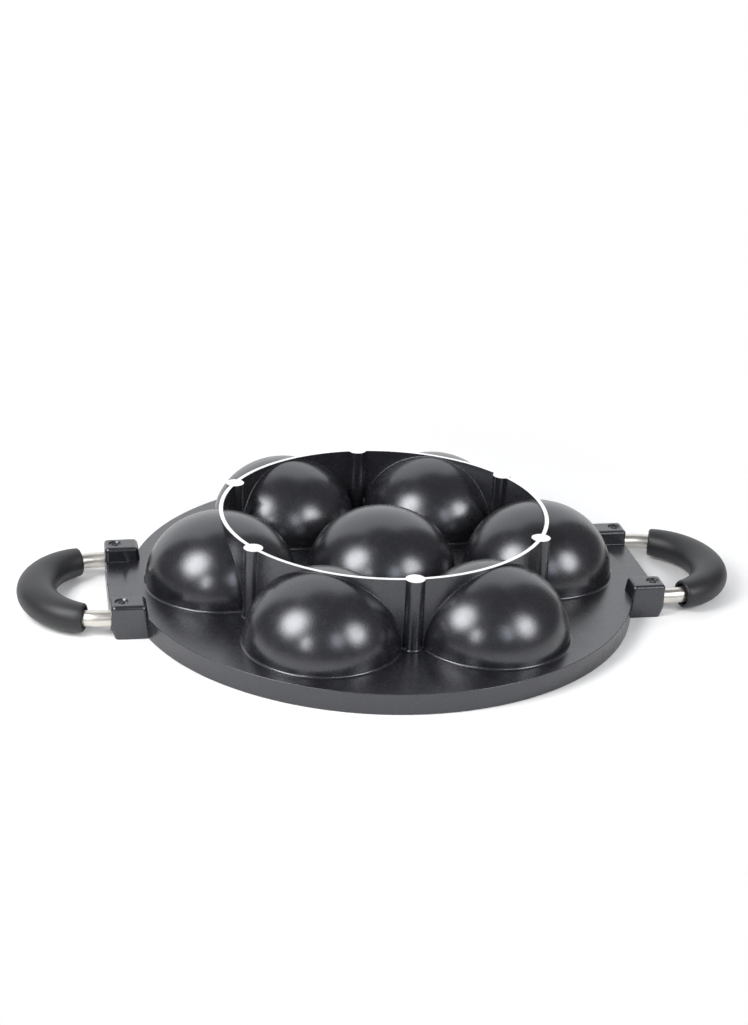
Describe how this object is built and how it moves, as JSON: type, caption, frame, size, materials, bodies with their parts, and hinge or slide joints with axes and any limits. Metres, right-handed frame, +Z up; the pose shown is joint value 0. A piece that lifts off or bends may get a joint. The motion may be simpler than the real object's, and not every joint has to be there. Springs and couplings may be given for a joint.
{
  "type": "donut pan",
  "caption": "Round stove-top donut pan with hemispherical cups, a stand ring underneath and a looped handle on each side, shown upside down on its rim.",
  "frame": {"origin": "centre of the rim's plane, under the centre cup: the lowest plane of the part as it lies upside down on its rim", "axes": "+Z up, from the open cups to the stand ring's foot; +X to the right, through both handles; +Y to the rear. In use the pan is turned over, so that +Z points down"},
  "size_m": [0.3443, 0.24, 0.0435],
  "materials": {
    "coating": "satin",
    "rod_steel": "satin",
    "grip_plastic": "matte",
    "pin_steel": "satin"
  },
  "bodies": {
    "root": {"pan_casting": "coating", "handle_rod_right": "rod_steel", "handle_grip_right": "grip_plastic", "handle_rod_left": "rod_steel", "handle_grip_left": "grip_plastic", "fixing_pin_right_rear": "pin_steel", "fixing_pin_right_front": "pin_steel", "fixing_pin_left_rear": "pin_steel", "fixing_pin_left_front": "pin_steel"}
  },
  "joints": []
}
